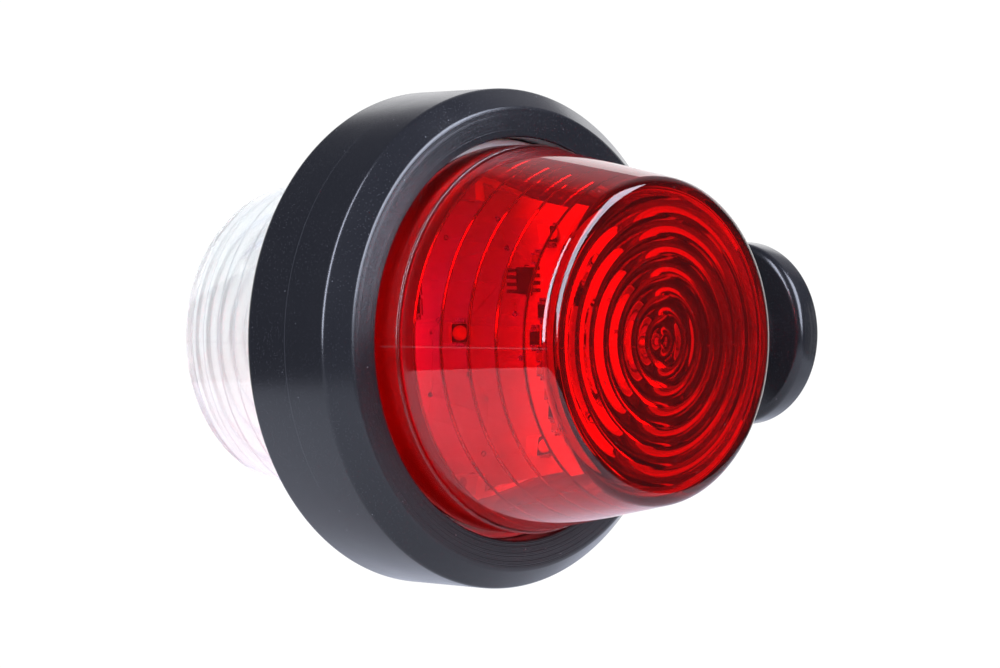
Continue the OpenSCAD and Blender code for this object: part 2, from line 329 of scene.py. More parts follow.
def clear_plastic(name, absorb, density, glow, side_haze, face_haze, roughness, flange_painted_shade, rim_painted_shade):
    """Transparent moulded plastic, coloured by how much light its thickness takes away.

    It has a slight haze, a dull flange darkened by painted shade, a rim darkened by painted shade,
    a painted pale reflection along the line that the mould left, and a little dust.
    """
    mat = new_material(name, IOR=1.5, Transmission_Weight=1.0)
    shader = shader_of(mat)
    along = away_from(mat, object_coordinates(mat), ALONG)
    radius = axis_distance(mat, object_coordinates(mat))
    # Painted shade: the base colour is darkened on the rounded rim and on the flange under the ring's lip
    rim = product(mat, between(mat, along, *RIM_BAND, 0.0, rim_painted_shade),
                  between(mat, radius, *RIM_RADIUS, 0.0, 1.0))
    flange = between(mat, along, *FLANGE_SHADE, flange_painted_shade, 1.0)
    link(mat, calculate(mat, "SUBTRACT", flange, rim), shader.inputs["Base Color"])
    link(mat, between(mat, along, *FLANGE_GLOSS, 0.22, roughness), shader.inputs["Roughness"])
    milk = node(mat, "ShaderNodeBsdfTranslucent", Color=(*glow, 1))
    haze = between(mat, along, *FACE_HAZE, side_haze, face_haze)
    hazy = mixed_shader(mat, haze, shader.outputs["BSDF"], milk.outputs["BSDF"])

    # Painted reflection: a pale line along the mould's parting line, mixed in with the dust specks
    height = vector_math(mat, "DOT_PRODUCT", object_coordinates(mat), UP)
    off_line = calculate(mat, "ABSOLUTE", calculate(mat, "SUBTRACT", height, PARTING_Z))
    seam = product(mat, between(mat, off_line, *PARTING_EDGE, 0.05, 0.0),
                   between(mat, along, *FACE_EDGE, 1.0, 0.0))
    dust = node(mat, "ShaderNodeBsdfDiffuse", Color=(0.45, 0.43, 0.44, 1))
    dust_and_painted_reflection = mixed_shader(mat, calculate(mat, "ADD", seam, specks(mat, 900, 0.035)), hazy,
                         dust.outputs["BSDF"])

    path = node(mat, "ShaderNodeLightPath")
    through = node(mat, "ShaderNodeBsdfTransparent", Color=(0.93, 0.93, 0.93, 1))
    output = mat.node_tree.nodes["Material Output"]
    link(mat, mixed_shader(mat, path.outputs["Is Shadow Ray"], dust_and_painted_reflection, through.outputs["BSDF"]),
         output.inputs["Surface"])
    volume = node(mat, "ShaderNodeVolumeAbsorption", Color=(*absorb, 1), Density=density)
    link(mat, volume.outputs["Volume"], output.inputs["Volume"])
    return mat


BLACK = black_plastic()
RED_PLASTIC = clear_plastic("red_plastic", absorb=(0.985, 0.0, 0.38), density=2600.0, glow=(0.9, 0.02, 0.06),
                            side_haze=0.06, face_haze=0.015, roughness=0.02, flange_painted_shade=0.2,
                            rim_painted_shade=0.85)
CLEAR_PLASTIC = clear_plastic("clear_plastic", absorb=(0.96, 0.98, 1.0), density=12.0,
                              glow=(0.86, 0.94, 0.89), side_haze=0.2, face_haze=0.2, roughness=0.06,
                              flange_painted_shade=0.92, rim_painted_shade=0.1)


def surface(name, light, dark, grain, rough, depth, metallic=0.0, coat=0.0, subsurface=0.0):
    """A material with mottled colour and gloss. grain is in cells per metre and depth in metres."""
    mat = new_material(name, Metallic=metallic, Coat_Weight=coat, Subsurface_Weight=subsurface)
    shader = shader_of(mat)
    link(mat, ramp(mat, noise(mat, grain / 8, 4), [(0.3, dark), (0.7, light)]),
         shader.inputs["Base Color"])
    link(mat, ramp(mat, noise(mat, grain / 3), [(0.3, rough[0]), (0.7, rough[1])]),
         shader.inputs["Roughness"])
    link(mat, bump(mat, noise(mat, grain), depth, 0.6), shader.inputs["Normal"])
    return mat


def board_finish():
    """White solder mask on the two faces, and the cut laminate on every edge."""
    mat = new_material("board_white")
    shader = shader_of(mat)
    geometry = node(mat, "ShaderNodeNewGeometry")
    squareness = away_from(mat, geometry.outputs["Normal"], (1, 0, 0))
    on_face = ramp(mat, squareness, [(0.6, 0.0), (0.75, 1.0)])
    layers = node(mat, "ShaderNodeTexWave", bands_direction="X", Scale=1300.0, Distortion=2.0,
                  Detail=2.0)
    link(mat, object_coordinates(mat), layers.inputs["Vector"])
    laminate = ramp(mat, layers.outputs["Fac"], [(0.2, (0.42, 0.30, 0.13)), (0.8, (0.58, 0.45, 0.24))])
    mask = ramp(mat, noise(mat, 500), [(0.3, (0.83, 0.82, 0.77)), (0.7, (0.89, 0.88, 0.84))])
    mix = node(mat, "ShaderNodeMix", data_type="RGBA")
    link(mat, on_face, mix.inputs["Factor"])
    link(mat, laminate, mix.inputs["A"])
    link(mat, mask, mix.inputs["B"])
    link(mat, mix.outputs["Result"], shader.inputs["Base Color"])
    link(mat, ramp(mat, on_face, [(0.0, 0.7), (1.0, 0.3)]), shader.inputs["Roughness"])
    link(mat, bump(mat, noise(mat, 3000), 0.00001, 0.5), shader.inputs["Normal"])
    return mat


# Values for surface(), in its own order, by material slot of the record
SURFACES = {
    "insert_brass": ((0.78, 0.56, 0.24), (0.60, 0.40, 0.15), 5000, (0.22, 0.38), 8e-6, 1.0),
    "black_rubber": ((0.020, 0.020, 0.021), (0.011, 0.011, 0.012), 4000, (0.55, 0.75), 2e-5),
    "carrier_white": ((0.84, 0.82, 0.77), (0.78, 0.76, 0.70), 2500, (0.35, 0.5), 1.2e-5, 0.0, 0.0, 0.05),
    "screw_steel": ((0.68, 0.68, 0.67), (0.50, 0.50, 0.50), 6000, (0.22, 0.4), 6e-6, 1.0),
    "terminal_green": ((0.035, 0.25, 0.10), (0.022, 0.19, 0.07), 3500, (0.35, 0.5), 1e-5),
    "moulded_black": ((0.026, 0.026, 0.028), (0.015, 0.015, 0.017), 9000, (0.4, 0.6), 1e-5),
    "tinned_leads": ((0.78, 0.78, 0.76), (0.62, 0.62, 0.60), 8000, (0.18, 0.36), 8e-6, 1.0),
    "capacitor_tan": ((0.48, 0.32, 0.19), (0.36, 0.24, 0.14), 9000, (0.4, 0.6), 8e-6),
    "can_aluminium": ((0.80, 0.81, 0.82), (0.70, 0.71, 0.72), 4000, (0.25, 0.36), 5e-6, 1.0),
    "ferrite_grey": ((0.085, 0.085, 0.09), (0.045, 0.045, 0.05), 6000, (0.6, 0.85), 2e-5),
    "led_white": ((0.90, 0.89, 0.85), (0.84, 0.83, 0.78), 6000, (0.35, 0.5), 5e-6),
    "led_red_window": ((0.90, 0.20, 0.14), (0.72, 0.10, 0.07), 3000, (0.06, 0.12), 3e-6, 0.0, 0.8),
    "led_yellow_window": ((0.96, 0.84, 0.30), (0.88, 0.70, 0.14), 3000, (0.06, 0.12), 3e-6, 0.0, 0.8),
}
FINISHES = {slot: surface(slot, *values) for slot, values in SURFACES.items()}
FINISHES.update(housing_black=BLACK, board_white=board_finish(), lens_red=RED_PLASTIC,
                lens_clear=CLEAR_PLASTIC)
# Painted shade: dark grey metal that stands for the driver chip's tinned leads lying in shade
SHADED_LEADS = surface("painted_shade_leads", (0.16, 0.155, 0.15), (0.09, 0.088, 0.085), 8000, (0.3, 0.5), 8e-6, 0.7)
COPPER = surface("copper", (0.85, 0.42, 0.22), (0.66, 0.28, 0.13), 6000, (0.25, 0.4), 6e-6, 1.0)
# Width in millimetres of the bevel on the edges of CAD nodes that are shown as they are
CRISP_NODES = {"terminal_block": 0.15, "lens_carrier": 0.12, "terminal_screws": 0.06, "board_screws": 0.08}
for part in frame["record"]["subparts"]:
    obj = nodes[part["node"]]
    obj.data.materials.clear()
    obj.data.materials.append(FINISHES[part["material_slot"]])
    if part["node"] in CRISP_NODES:
        bevel = obj.modifiers.new("edges", "BEVEL")
        bevel.width = CRISP_NODES[part["node"]] * MM
        bevel.segments = 2
        bevel.limit_method = "ANGLE"
        bevel.angle_limit = math.radians(35)

# Ring

FACE_Z = 12.6                 # from the middle of the ring to its face
BORE_R = 33.7
BAND_HALF = 9.0               # half the width of the straight outer band
BEVEL = 3.3
RIB_R = 31.2                  # rib inside the bore that backs both lens flanges
RIB_HALF = 2.5

ring_half = [(RIB_R, RIB_HALF, 0.3),
             (BORE_R, RIB_HALF),
             (BORE_R, FACE_Z, 0.35),
             (RING_R - BEVEL, FACE_Z, 1.0),
             (RING_R, BAND_HALF, 1.3)]
ring = lathe("housing_ring", ring_half + mirrored(ring_half), on_lamp_axis(RED), BLACK, 384)
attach(ring, "housing")

# Foot. Its own Z runs to +X, and heights are zero on its mounting face

FOOT_R = 16.8
FLANGE_T = 5.2
NECK_R = 8.5
NECK_END = -37.0              # inside the ring's wall
INSERT_Z = 10.0
INSERT_R = 3.3
INSERT_LEN = 7.5
BOSS_R = 5.0
BOSS_LEN = 9.6
CABLE_R = 4.0
GROMMET_R = 5.2
GROMMET_HEAD_R = 6.2
GROMMET_HEAD = 1.6            # depth of the grommet's head
GROMMET_LEN = 12.0
FIT = 0.02                    # clearance round an inserted piece
FOOT = Matrix.Rotation(math.radians(90), 4, "Y") @ Matrix.Scale(MM, 4)


def solid_of(corners, centre=0.0, segments=64):
    """Scratch object turned about the foot's own axis, shifted up by centre."""
    bm = lathe_bmesh(outline(corners, 6), lambda r, h, c, s: (r * c - centre, r * s, h), segments)
    bmesh.ops.remove_doubles(bm, verts=bm.verts, dist=1e-5)
    bmesh.ops.recalc_face_normals(bm, faces=bm.faces)
    bm.transform(FOOT)
    mesh = bpy.data.meshes.new("scratch")
    bm.to_mesh(mesh)
    bm.free()
    obj = bpy.data.objects.new("scratch", mesh)
    bpy.context.scene.collection.objects.link(obj)
    return obj


def combined(base, parts):
    """Mesh of base after each (operation, object) of parts, which are then deleted."""
    for operation, other in parts:
        change = base.modifiers.new("change", "BOOLEAN")
        change.operation = operation
        change.object = other
        change.solver = "EXACT"
    bpy.context.view_layer.update()
    mesh = bpy.data.meshes.new_from_object(base.evaluated_get(bpy.context.evaluated_depsgraph_get()))
    for obj in [base] + [other for _, other in parts]:
        bpy.data.objects.remove(obj)
    return mesh


foot_solid = solid_of([(0, NECK_END), (NECK_R + 1, NECK_END), (NECK_R + 1, -29.0, 4), (NECK_R, -26.0, 6),
                       (NECK_R, -FLANGE_T - 1.2, 3.5), (FOOT_R, -FLANGE_T, 1.6), (FOOT_R, 0, 0.7), (0, 0)],
                      segments=192)
boss = [(0, -BOSS_LEN), (BOSS_R, -BOSS_LEN, 0.8), (BOSS_R, -1), (0, -1)]
insert_seat = [(0, -INSERT_LEN - 0.3), (INSERT_R + FIT, -INSERT_LEN - 0.3), (INSERT_R + FIT, -0.45),
               (INSERT_R + 0.5, 0.2), (0, 0.2)]
cable_bore = [(0, NECK_END - 3), (CABLE_R, NECK_END - 3), (CABLE_R, -GROMMET_LEN),
              (GROMMET_R + FIT, -GROMMET_LEN), (GROMMET_R + FIT, -GROMMET_HEAD),
              (GROMMET_HEAD_R + FIT, -GROMMET_HEAD), (GROMMET_HEAD_R + FIT, -0.3), (6.5, 0.2), (0, 0.2)]
changes = [("UNION", solid_of(boss, s * INSERT_Z)) for s in (-1, 1)]
changes += [("DIFFERENCE", solid_of(insert_seat, s * INSERT_Z)) for s in (-1, 1)]
changes.append(("DIFFERENCE", solid_of(cable_bore)))
neck = add_object("housing_neck", combined(foot_solid, changes), BLACK)
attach(neck, "housing")
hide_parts("housing")

# Lenses

FLANGE_R = 32.4
FLANGE_Z = 9.5
BASE_Z = 16.3                 # foot of the tapered side wall, on top of the flange
BASE_R = 32.0
SKIRT_R = 30.6                # the skirt goes down inside the ring
SKIRT_Z = 3.7
WALL = 2.2
RIM_R = 26.3
RIM_DROP = 0.7                # from the middle of the crowned face to its rim
RIM_Z = LENS_REACH - RIM_DROP
RIM_ROUND = 2.6
STEP_PITCH = 5.15             # steps inside the side wall
STEP_H = 0.6
FIRST_STEP = 17.85
STEP_COUNT = 5
PRISM_PITCH = 3.17            # rings inside the face, round a flat dot
PRISM_H = 0.7
PRISM_COUNT = 7
DOT_R = 1.1


def side_r(z):
    """Outer radius of the side wall at height z, also where its line is carried on past its ends."""
    return BASE_R - (BASE_R - RIM_R) / (RIM_Z - BASE_Z) * (z - BASE_Z)


def crown_z(r):
    """Height of the crowned face at radius r."""
    return LENS_REACH - RIM_DROP * (r / RIM_R) ** 2


def lens_corners():
    """Closed outline of a lens: skirt, flange, tapered side, crowned face, then back along the inside."""
    inner_z = RIM_Z - WALL
    corners = [(SKIRT_R - WALL, SKIRT_Z), (SKIRT_R, SKIRT_Z, 0.3), (SKIRT_R, FLANGE_Z),
               (FLANGE_R, FLANGE_Z, 0.3), (FLANGE_R, BASE_Z, 0.4), (BASE_R - 0.3, BASE_Z),
               (BASE_R - 0.3, BASE_Z + 0.35), (side_r(BASE_Z + 0.5), BASE_Z + 0.5, 0.1),
               (RIM_R, RIM_Z, RIM_ROUND)]
    corners += [(RIM_R * f, crown_z(RIM_R * f)) for f in (0.85, 0.75, 0.65, 0.5, 0.35, 0.2, 0.1)]
    corners += [(0, LENS_REACH), (0, inner_z - PRISM_H), (DOT_R, inner_z)]
    for k in range(PRISM_COUNT):
        crest = [math.pi * i / 8 for i in range(1, 9)]
        corners += [(DOT_R + (k + i / 8) * PRISM_PITCH, inner_z - PRISM_H * math.sin(t))
                    for i, t in enumerate(crest, 1)]
    corners.append((side_r(inner_z) - WALL, inner_z, 0.8))
    for k in reversed(range(STEP_COUNT)):
        z = FIRST_STEP + k * STEP_PITCH
        corners += [(side_r(z) - WALL - STEP_H / 2, z, 0.05), (side_r(z) - WALL + STEP_H / 2, z, 0.05)]
    corners.append((SKIRT_R - WALL, FLANGE_Z + 3))
    return corners


def shade_steps(mat, shade):
    """Painted shade: darken a narrow line along each step, on the inside of the side wall only."""
    tint = shader_of(mat).inputs["Base Color"]
    along = away_from(mat, object_coordinates(mat), ALONG)
    radius = axis_distance(mat, object_coordinates(mat))
    taper = product(mat, along, (BASE_R - RIM_R) / (RIM_Z - BASE_Z))
    depth = calculate(mat, "SUBTRACT", side_r(0) * MM, calculate(mat, "ADD", taper, radius))
    past_first = calculate(mat, "SUBTRACT", along, FIRST_STEP * MM)
    off_step = calculate(mat, "PINGPONG", past_first, STEP_PITCH * MM / 2)
    line = product(mat, between(mat, off_step, 0.00014, 0.00024, shade, 0.0),
                   between(mat, along, 0.016, 0.0165, 0.0, 1.0),
                   between(mat, along, 0.0405, 0.041, 1.0, 0.0),
                   between(mat, depth, 0.001, 0.0012, 0.0, 1.0))
    link(mat, calculate(mat, "SUBTRACT", tint.links[0].from_socket, line), tint)


shade_steps(RED_PLASTIC, 0.75)
shade_steps(CLEAR_PLASTIC, 0.3)
for name, side, mat, slot in (("red_lens", RED, RED_PLASTIC, "lens_red"),
                              ("clear_lens", CLEAR, CLEAR_PLASTIC, "lens_clear")):
    lens = lathe(name + "_moulding", lens_corners(), on_lamp_axis(side), mat, 360)
    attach(lens, name)
    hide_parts(name)

# Shapes in millimetres, gathered into pieces

BOARD_T = 1.6
UPRIGHT = Matrix.Translation(CENTRE) @ Matrix(((0, 0, 1, 0), (1, 0, 0, 0), (0, 1, 0, 0), (0, 0, 0, 1)))
MILLI = Matrix.Scale(MM, 4)
BOARD = UPRIGHT @ MILLI       # own X along the lamp axis to +Y, own Y up, own Z to +X


def on_board(place, face):
    """Own X towards the lens that this face's lights serve, own Y up, own Z off the board."""
    axes = Matrix(((0, 0, face, 0), (face, 0, 0, 0), (0, 1, 0, 0), (0, 0, 0, 1)))
    spot = Vector((LAMP_X + face * BOARD_T / 2 * MM, place[0] * MM, place[1] * MM))
    return Matrix.Translation(spot) @ axes @ MILLI


def turned_about(matrix, place, axis, degrees):
    """matrix moved to place, in its own axes, and turned there about one of them."""
    return matrix @ Matrix.Translation(Vector(place)) @ Matrix.Rotation(math.radians(degrees), 4, axis)


class Piece:
    """One named piece that rides the housing, built up from shapes given in millimetres."""

    def __init__(self, name, slot, *replaced, mat=None):
        self.name, self.slot, self.replaced = name, slot, replaced
        self.mat = mat or FINISHES[slot]
        self.bm = bmesh.new()

    def take(self, shape, matrix):
        """Add a scratch shape, placed by matrix."""
        bmesh.ops.recalc_face_normals(shape, faces=shape.faces)
        shape.transform(matrix)
        mesh = bpy.data.meshes.new("shape")
        shape.to_mesh(mesh)
        shape.free()
        self.bm.from_mesh(mesh)
        bpy.data.meshes.remove(mesh)

    def block(self, matrix, low, high, bevel=0.08, taper=0.0):
        """Box from low to high with bevelled edges. taper draws each upright side in towards the top."""
        shape = bmesh.new()
        bmesh.ops.create_cube(shape, size=1)
        low, high = Vector(low), Vector(high)
        size, middle = high - low, (high + low) / 2
        for vert in shape.verts:
            inward = taper if vert.co.z > 0 else 0
            for axis in (0, 1):
                vert.co[axis] *= size[axis] - 2 * inward
            vert.co.z *= size.z
            vert.co += middle
        if bevel:
            bmesh.ops.bevel(shape, geom=shape.edges[:], offset=bevel, segments=2, profile=0.5,
                            affect="EDGES")
        self.take(shape, matrix)

    def turned(self, matrix, corners, segments, steps=4):
        """Closed outline of (radius, height) turned about own Z."""
        shape = lathe_bmesh(outline(corners, steps), lambda r, h, c, s: (r * c, r * s, h), segments)
        bmesh.ops.remove_doubles(shape, verts=shape.verts, dist=1e-4)
        self.take(shape, matrix)

    def plate(self, matrix, loops, low, high, bevel=0.0):
        """Flat plate with holes: the first loop of (x, y) points is its outline."""
        curve = bpy.data.curves.new("plate", "CURVE")
        curve.dimensions = "2D"
        curve.fill_mode = "BOTH"
        curve.extrude = (high - low) / 2 - bevel
        curve.bevel_depth = bevel
        curve.bevel_resolution = 1
        curve.offset = -bevel
        for loop in loops:
            spline = curve.splines.new("POLY")
            spline.points.add(len(loop) - 1)
            spline.use_cyclic_u = True
            for point, (x, y) in zip(spline.points, loop):
                point.co = (x, y, 0, 1)
        holder = bpy.data.objects.new("plate", curve)
        mesh = bpy.data.meshes.new_from_object(holder)
        shape = bmesh.new()
        shape.from_mesh(mesh)
        bmesh.ops.remove_doubles(shape, verts=shape.verts, dist=1e-4)
        bpy.data.objects.remove(holder)
        bpy.data.meshes.remove(mesh)
        self.take(shape, matrix @ Matrix.Translation((0, 0, (high + low) / 2)))

    def strip(self, matrix, path, width, thick):
        """Flat lead that follows path, (x, z) points, and is centred on own Y."""
        points = [Vector(p) for p in path]
        above, below = [], []
        for i, point in enumerate(points):
            along = (points[min(i + 1, len(points) - 1)] - points[max(i - 1, 0)]).normalized()
            across = Vector((-along.y, along.x)) * thick / 2
            above.append(point + across)
            below.append(point - across)
        ring = above + below[::-1]
        shape = bmesh.new()
        sides = [[shape.verts.new((p.x, y, p.y)) for p in ring] for y in (-width / 2, width / 2)]
        count, last = len(ring), len(points) - 1
        for j in range(count):
            k = (j + 1) % count
            shape.faces.new((sides[0][j], sides[0][k], sides[1][k], sides[1][j]))
        for side in sides:
            for j in range(last):
                shape.faces.new((side[j], side[j + 1], side[count - 2 - j], side[count - 1 - j]))
        self.take(shape, matrix)

    def fillet(self, matrix, width, reach, height):
        """Solder that climbs own Z against own X = 0 and thins out towards +X."""
        curve = [(reach * (1 - math.cos(t)), height * (1 - math.sin(t)))
                 for t in (math.pi / 2 * i / 4 for i in range(5))]
        path = [(0, 0)] + [(x, max(z, 0.03)) for x, z in curve] + [(reach, 0)]
        shape = bmesh.new()
        sides = [[shape.verts.new((x, y, z)) for x, z in path] for y in (-width / 2, width / 2)]
        for j in range(len(path)):
            k = (j + 1) % len(path)
            shape.faces.new((sides[0][j], sides[0][k], sides[1][k], sides[1][j]))
        for side in sides:
            shape.faces.new(side)
        self.take(shape, matrix)

    def finish(self):
        """Make the object with its material, attach it to the housing, and hide the CAD parts that it stands
        for.
        """
        obj = add_object(self.name, mesh_from_bmesh(self.name, self.bm, 1e-8), self.mat)
        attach(obj, "housing")
        if self.replaced:
            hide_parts(*self.replaced)


def circle(x, y, r, count=20):
    return [(x + r * math.cos(2 * math.pi * i / count), y + r * math.sin(2 * math.pi * i / count))
            for i in range(count)]


def rectangle(x, y, radius, steps):
    """Outline of a rectangle from (-x, -y) to (x, y) with rounded corners."""
    return outline([(-x, -y, radius), (x, -y, radius), (x, y, radius), (-x, y, radius)], steps)


# Circuit board

# Places on the board are (along the lamp axis to +Y, up) from its middle
RED_LIGHTS = [(3.6, 0.9), (-19.1, 18.4), (-16.2, -18.8)]
WHITE_LIGHTS = [(5.5, 0.9), (17.2, 17.4), (15.2, -18)]
CHIP = (-12.6, 10.4)
RESISTORS = [((-16.7, 4.9), NEAR), ((-14.9, 0.2), NEAR), ((-19.2, -12.2), NEAR), ((13.5, 9), NEAR),
             ((13.5, 5.4), NEAR), ((-12, 13.5), FAR), ((-12, 9.5), FAR), ((-12, 5.5), FAR)]
CAPACITORS = [((-16.5, -3), NEAR), ((-16.7, -5.4), NEAR), ((-18.4, -9.4), NEAR), ((-20.2, -15), NEAR),
              ((-14.2, 14.4), NEAR), ((15.5, -6), NEAR), ((12, 10.2), FAR), ((12, 7.6), FAR)]
CAN = (-19.5, -2)
INDUCTOR = (17.5, -6)
RECTIFIER = (-8, -13)
SUPPRESSOR = (4, -14)
LIGHT_SIZE = Vector((2.6, 3.5, 3.0))
BOARD_SCREW_Z = 25.4

board_half = [(3.4, 27.3, 0.6), (4.2, 26.6), (29.0, 22.8, 1.5)]
board_top = [(-x, y, *r) for x, y, *r in reversed(board_half)] + board_half
board_outline = outline(board_top + mirrored(board_top), 5)
holes = [circle(0, s * BOARD_SCREW_Z, 1.02) for s in (-1, 1)]
vias = [(-8.5, 4.5), (-7.2, 16.2), (-9.6, -3.4), (-11.2, -8.6), (-22.6, 9.5), (-23.4, -9.2), (-5.6, 21.3),
        (8.8, 3.1), (10.4, -10.2), (22.8, 10.6), (23.5, -12.4), (6.2, 17.7), (19.4, 2.4), (-2.2, -20.6),
        (12.1, -21.2), (-24.6, 2.1)]
holes += [circle(x, y, 0.25, 10) for x, y in vias]
board = Piece("circuit_board_plate", "board_white", "circuit_board")
board.plate(BOARD, [board_outline] + holes, -BOARD_T / 2, BOARD_T / 2, 0.04)
board.finish()

MASK_T = 0.03                 # how far copper stands up under the solder mask
SUNK = -0.01                  # copper starts this far inside the board
tracks = Piece("board_tracks", "board_white")


def track(face, width, *points):
    """Copper track under the mask, through points given as (along the lamp axis to +Y, up)."""
    matrix = on_board((0, 0), face)
    for (x0, y0), (x1, y1) in zip(points, points[1:]):
        start, end = Vector((face * x0, y0)), Vector((face * x1, y1))
        turn = math.atan2(end.y - start.y, end.x - start.x)
        here = matrix @ Matrix.Translation((start.x, start.y, 0)) @ Matrix.Rotation(turn, 4, "Z")
        side, tip, rounding = width / 2, (end - start).length + width / 2, width * 0.49
        tracks.plate(here, [outline([(-side, -side, rounding), (-side, side, rounding),
                                     (tip, side, rounding), (tip, -side, rounding)], 3)], SUNK, MASK_T)


TRACKS = [
    (NEAR, 0.5, (-18.2, 12.3), (-21.5, 12.3), (-24.6, 9.2), (-24.6, 2.1)),
    (NEAR, 0.5, (-18.2, 9.8), (-22.6, 9.5)),
    (NEAR, 0.4, (-10.8, 12.3), (-7.2, 16.2), (-5.6, 21.3)),
    (NEAR, 0.4, (-10.8, 11.0), (-6.0, 11.0), (-1.5, 6.5), (2.1, 3.4)),
    (NEAR, 0.4, (-10.8, 8.5), (-8.5, 6.2), (-8.5, 4.5)),
    (NEAR, 0.8, (2.1, -1.9), (2.1, -6.5), (-2.2, -10.8), (-2.2, -20.6)),
    (NEAR, 0.5, (-16.7, 2.9), (-16.5, -1.6)),
    (NEAR, 0.5, (-14.9, -1.8), (-12.2, -4.5), (-11.2, -8.6), (-15.2, -15.4)),
    (NEAR, 0.4, (-18.4, -8.0), (-20.6, -6.0), (-23.4, -9.2)),
    (NEAR, 0.8, (13.5, 11), (13.5, 14.5), (6.2, 17.7)),
    (NEAR, 0.6, (13.5, 3.4), (15.5, 0.5), (15.5, -4.6)),
    (NEAR, 0.6, (8.8, 3.1), (10.4, 0.8), (10.4, -10.2), (12.1, -21.2)),
    (FAR, 1.2, (4.5, 2.5), (9.2, 2.5), (12.4, -0.7), (14.6, -4.0)),
    (FAR, 1.2, (4.0, -11.4), (4.0, -7.8), (6.5, -5.3), (14.0, -6)),
    (FAR, 1.0, (-8, -9.6), (-8, -7), (-13, -2), (-15, -2)),
    (FAR, 0.6, (-12, 11.6), (-12, 11.3)),
    (FAR, 0.6, (-12, 15.4), (-7.2, 16.2), (6.2, 17.7), (15.9, 17.4)),
    (FAR, 0.6, (12, 11.4), (12, 14), (17.2, 15.2)),
    (FAR, 0.6, (12, 6.4), (10, 4.4), (5.5, 3.2)),
    (FAR, 0.6, (21.2, -6), (23.5, -8.4), (23.5, -12.4), (17.6, -18)),
]
for row in TRACKS:
    track(*row)
tracks.finish()

pads = Piece("board_pads", "tinned_leads")
for x, y in vias:
    for face in (NEAR, FAR):
        pads.plate(on_board((x, y), face), [circle(0, 0, 0.52, 18), circle(0, 0, 0.26, 10)], SUNK, MASK_T)
for s in (-1, 1):
    for face in (NEAR, FAR):
        pads.plate(on_board((0, s * BOARD_SCREW_Z), face), [circle(0, 0, 1.5, 28), circle(0, 0, 1.03)],
                   SUNK, 0.015)


def pad(matrix, x, y, width, height):
    """Solder pad centred on (x, y)."""
    left, right, low, high = x - width / 2, x + width / 2, y - height / 2, y + height / 2
    pads.plate(matrix, [outline([(left, low, 0.12), (right, low, 0.12), (right, high, 0.12),
                                 (left, high, 0.12)], 2)], SUNK, MASK_T)


def two_end_pads(matrix, width, length, height):
    """Pads and solder at the two ends, along own Y, of a part of that length."""
    for s in (-1, 1):
        pad(matrix, 0, s * (length / 2 + 0.1), width + 0.3, 1.2)
        end = turned_about(matrix, (0, s * length / 2, MASK_T), "Z", 90 * s)
        pads.fillet(end, width * 0.92, 0.5, height)


marks = Piece("board_marks", "moulded_black")
LINE = 0.16                   # width of the printed outlines
INK_T = 0.025


def printed_frame(matrix, width, height, gap=0.0):
    """Printed outline round a part: two long lines, with short returns at their ends."""
    for s in (-1, 1):
        x = s * width / 2
        marks.block(matrix, (x - LINE / 2, -height / 2, 0), (x + LINE / 2, height / 2, INK_T), 0)
        for t in (-1, 1):
            low, high = sorted((x, x - s * gap))
            y = t * height / 2
            marks.block(matrix, (low, y - LINE / 2, 0), (high, y + LINE / 2, INK_T), 0)


# Light sources

bodies = {RED: Piece("red_led_cases", "led_white", "red_led_bodies"),
          CLEAR: Piece("white_led_cases", "led_white", "white_led_bodies")}
domes = {RED: Piece("red_led_windows", "led_red_window", "red_led_domes"),
         CLEAR: Piece("white_led_windows", "led_yellow_window", "white_led_domes")}
frames = Piece("led_frames", "moulded_black")
led_tabs = Piece("led_tabs", "tinned_leads", "led_leads")
DOME_R = 1.37
DOME_H = 0.76
FRAME_T = 0.14
for side, places, face in ((RED, RED_LIGHTS, NEAR), (CLEAR, WHITE_LIGHTS, FAR)):
    for spot in places:
        at = on_board(spot, face)
        half = LIGHT_SIZE / 2
        bodies[side].block(at, (-half.x, -half.y, 0.12), (half.x - 0.12, half.y, LIGHT_SIZE.z), 0.16)
        bodies[side].block(at, (-half.x + 0.35, -half.y + 0.45, LIGHT_SIZE.z - 0.05),
                           (half.x - 0.5, half.y - 0.45, LIGHT_SIZE.z + 0.06), 0.05)
        front = turned_about(at, (half.x - FRAME_T, 0, half.z), "Y", 90)
        window = circle(0, 0, DOME_R + 0.03, 40)
        frames.plate(front, [rectangle(1.38, 1.68, 0.3, 3), window], 0, FRAME_T, 0.02)
        cap = [(0, 0.05), (DOME_R, 0.05), (DOME_R, FRAME_T)]
        cap += [(DOME_R * math.cos(t), FRAME_T + DOME_H * math.sin(t))
                for t in (math.pi / 2 * i / 9 for i in range(1, 10))]
        domes[side].turned(front, cap, 48)
        for s in (-1, 1):
            pad(at, -0.2, s * (half.y + 0.35), 2.3, 1.0)
            tab = turned_about(at, (-0.2, s * half.y, 0), "Z", 90 * s)
            led_tabs.strip(tab, [(-0.2, 0.16), (0.3, 0.16), (0.5, 0.16)], 1.9, 0.16)
            led_tabs.strip(tab, [(0.07, 0.2), (0.07, 1.0)], 1.5, 0.13)
            pads.fillet(tab @ Matrix.Translation((0.14, 0, MASK_T)), 1.7, 0.55, 0.45)
for piece in (*bodies.values(), *domes.values(), frames, led_tabs):
    piece.finish()

# Driver chip

